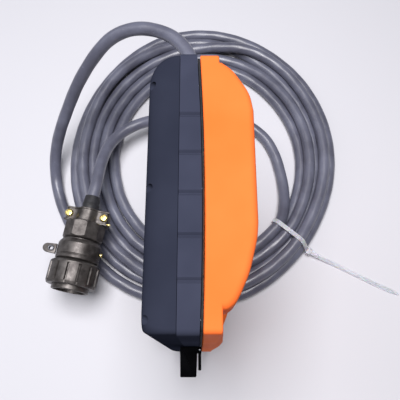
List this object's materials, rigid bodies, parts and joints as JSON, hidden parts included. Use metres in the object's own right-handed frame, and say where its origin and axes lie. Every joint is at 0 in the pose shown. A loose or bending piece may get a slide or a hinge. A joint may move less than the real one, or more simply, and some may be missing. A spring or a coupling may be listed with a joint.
{
  "type": "pendant control station",
  "caption": "Hand-held machine control pendant with rear grips, display, keys and stop button, on its coiled cable with a round plug.",
  "frame": {"origin": "middle of the pendant's own box, without its cable, tie, strain relief and plug", "axes": "+Z along the pendant's width, up as it stands on one short end; +X from the operator's face to the rear grips; +Y from the hanging clip to the cable outlet"},
  "size_m": [0.4064, 0.4349, 0.3009],
  "materials": {
    "front_shell": "fine spark-eroded texture, satin",
    "bumper": "fine texture, matt",
    "rear_shell": "fine texture, satin",
    "gasket": "matt",
    "window": "gloss",
    "screen": "gloss",
    "board": "solder mask",
    "estop_red": "gloss",
    "estop_yellow": "satin",
    "black_plastic": "satin",
    "key_caps": "matt",
    "steel": "turned",
    "relief_rubber": "matt",
    "cable_jacket": "extruded, satin",
    "tie_nylon": "natural nylon, translucent",
    "plug_olive": "olive drab plating, satin",
    "plug_insert": "moulded",
    "brass": "plated"
  },
  "bodies": {
    "station": {"front_housing": "front_shell", "bumper_band": "bumper", "rear_housing": "rear_shell", "case_gasket": "gasket", "display_window": "window", "lcd_panel": "screen", "main_board": "board", "key_board": "board", "estop_collar": "estop_yellow", "estop_contacts": "black_plastic", "selector_bezel": "black_plastic", "selector_contacts": "black_plastic", "enabling_switch_near": "black_plastic", "enabling_switch_far": "black_plastic", "hanging_tongue": "black_plastic", "gland_body": "black_plastic", "gland_nut": "black_plastic", "case_screw_near_1": "steel", "case_screw_near_2": "steel", "case_screw_near_3": "steel", "case_screw_far_1": "steel", "case_screw_far_2": "steel", "case_screw_far_3": "steel", "clip_pin": "steel", "strain_relief": "relief_rubber", "plug_boot": "relief_rubber", "cord_exit": "cable_jacket", "cord_lead": "cable_jacket", "cord_coil": "cable_jacket", "cable_tie": "tie_nylon", "plug_shell": "plug_olive", "plug_body": "plug_olive", "plug_cap_lug": "plug_olive", "plug_backshell_nut": "plug_olive", "plug_clamp_seat": "plug_olive", "plug_clamp_bar": "plug_olive", "plug_insert": "plug_insert", "plug_side_screw": "brass", "plug_clamp_screw_left": "brass", "plug_clamp_screw_right": "brass"},
    "clip_blade": {"clip_blade": "black_plastic"},
    "estop_stem": {"estop_stem": "black_plastic"},
    "estop_head": {"estop_head": "estop_red"},
    "selector_knob": {"selector_knob": "black_plastic"},
    "enabling_bar_near": {"enabling_bar_near": "black_plastic"},
    "enabling_bar_far": {"enabling_bar_far": "black_plastic"},
    "coupling_ring": {"plug_coupling_ring": "plug_olive"},
    "soft_key_1": {"soft_key_1": "key_caps"},
    "soft_key_2": {"soft_key_2": "key_caps"},
    "soft_key_3": {"soft_key_3": "key_caps"},
    "soft_key_4": {"soft_key_4": "key_caps"},
    "soft_key_5": {"soft_key_5": "key_caps"},
    "jog_key_1": {"jog_key_1": "key_caps"},
    "jog_key_2": {"jog_key_2": "key_caps"},
    "jog_key_3": {"jog_key_3": "key_caps"},
    "jog_key_4": {"jog_key_4": "key_caps"},
    "jog_key_5": {"jog_key_5": "key_caps"},
    "jog_key_6": {"jog_key_6": "key_caps"}
  },
  "joints": [
    {"name": "clip_blade_swing", "type": "hinge", "parent": "station", "child": "clip_blade", "pos_m": [0.0095, -0.0817, 0], "axis": [0, 0, 1], "range_deg": [0, 12], "stiffness_Nm_per_rad": 0.3},
    {"name": "estop_push", "type": "slide", "parent": "station", "child": "estop_stem", "axis": [1, 0, 0], "range_m": [0, 0.004]},
    {"name": "estop_twist", "type": "hinge", "parent": "estop_stem", "child": "estop_head", "pos_m": [-0.0353, -0.0421, -0.098], "axis": [1, 0, 0], "range_deg": [0, 30], "stiffness_Nm_per_rad": 0.05},
    {"name": "selector_turn", "type": "hinge", "parent": "station", "child": "selector_knob", "pos_m": [-0.0263, -0.0011, -0.098], "axis": [1, 0, 0], "range_deg": [-45, 45]},
    {"name": "enabling_near_press", "type": "slide", "parent": "station", "child": "enabling_bar_near", "axis": [0, 0, 1], "range_m": [0, 0.0025], "stiffness_N_per_m": 2000, "springref_m": -0.001},
    {"name": "enabling_far_press", "type": "slide", "parent": "station", "child": "enabling_bar_far", "axis": [0, 0, -1], "range_m": [0, 0.0025], "stiffness_N_per_m": 2000, "springref_m": -0.001},
    {"name": "coupling_ring_turn", "type": "hinge", "parent": "station", "child": "coupling_ring", "pos_m": [-0.1223, -0.0211, -0.111], "axis": [0.1682, 0.9858, 0], "continuous": true},
    {"name": "soft_key_1_press", "type": "slide", "parent": "station", "child": "soft_key_1", "axis": [1, 0, 0], "range_m": [0, 0.0008], "stiffness_N_per_m": 1500, "springref_m": -0.0005},
    {"name": "soft_key_2_press", "type": "slide", "parent": "station", "child": "soft_key_2", "axis": [1, 0, 0], "range_m": [0, 0.0008], "stiffness_N_per_m": 1500, "springref_m": -0.0005},
    {"name": "soft_key_3_press", "type": "slide", "parent": "station", "child": "soft_key_3", "axis": [1, 0, 0], "range_m": [0, 0.0008], "stiffness_N_per_m": 1500, "springref_m": -0.0005},
    {"name": "soft_key_4_press", "type": "slide", "parent": "station", "child": "soft_key_4", "axis": [1, 0, 0], "range_m": [0, 0.0008], "stiffness_N_per_m": 1500, "springref_m": -0.0005},
    {"name": "soft_key_5_press", "type": "slide", "parent": "station", "child": "soft_key_5", "axis": [1, 0, 0], "range_m": [0, 0.0008], "stiffness_N_per_m": 1500, "springref_m": -0.0005},
    {"name": "jog_key_1_press", "type": "slide", "parent": "station", "child": "jog_key_1", "axis": [1, 0, 0], "range_m": [0, 0.0008], "stiffness_N_per_m": 1500, "springref_m": -0.0005},
    {"name": "jog_key_2_press", "type": "slide", "parent": "station", "child": "jog_key_2", "axis": [1, 0, 0], "range_m": [0, 0.0008], "stiffness_N_per_m": 1500, "springref_m": -0.0005},
    {"name": "jog_key_3_press", "type": "slide", "parent": "station", "child": "jog_key_3", "axis": [1, 0, 0], "range_m": [0, 0.0008], "stiffness_N_per_m": 1500, "springref_m": -0.0005},
    {"name": "jog_key_4_press", "type": "slide", "parent": "station", "child": "jog_key_4", "axis": [1, 0, 0], "range_m": [0, 0.0008], "stiffness_N_per_m": 1500, "springref_m": -0.0005},
    {"name": "jog_key_5_press", "type": "slide", "parent": "station", "child": "jog_key_5", "axis": [1, 0, 0], "range_m": [0, 0.0008], "stiffness_N_per_m": 1500, "springref_m": -0.0005},
    {"name": "jog_key_6_press", "type": "slide", "parent": "station", "child": "jog_key_6", "axis": [1, 0, 0], "range_m": [0, 0.0008], "stiffness_N_per_m": 1500, "springref_m": -0.0005}
  ]
}
